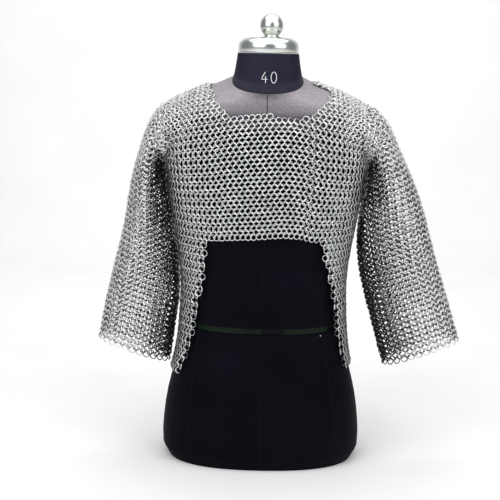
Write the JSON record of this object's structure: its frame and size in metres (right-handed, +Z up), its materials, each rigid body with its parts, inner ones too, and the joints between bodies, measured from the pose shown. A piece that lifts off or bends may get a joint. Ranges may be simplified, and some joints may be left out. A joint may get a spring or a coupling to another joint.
{
  "type": "short chainmail shirt on a limbless dress form",
  "caption": "Short linked-ring mail shirt with wide neck, loose three-quarter sleeves, cropped front and side tails, worn on a limbless dress form.",
  "frame": {"origin": "middle of the dress form's flat base", "axes": "+Z up along the form, the front faces -Y, +X to the viewer's right"},
  "size_m": [0.7138, 0.2612, 0.8584],
  "materials": {
    "mail": "linked bright steel wire rings, lightly worn",
    "jersey": "tight navy-black jersey with a pale sheen",
    "band": "dark green recessed band",
    "chrome": "polished"
  },
  "bodies": {
    "root": {"form_lower": "jersey", "form_waist_band": "band", "form_upper": "jersey", "form_neck": "jersey", "form_cap": "chrome", "form_ball": "chrome", "mail_front": "mail", "mail_back": "mail", "mail_tail_left": "mail", "mail_tail_right": "mail", "mail_sleeve_left_front": "mail", "mail_sleeve_left_back": "mail", "mail_sleeve_right_front": "mail", "mail_sleeve_right_back": "mail"}
  },
  "joints": []
}
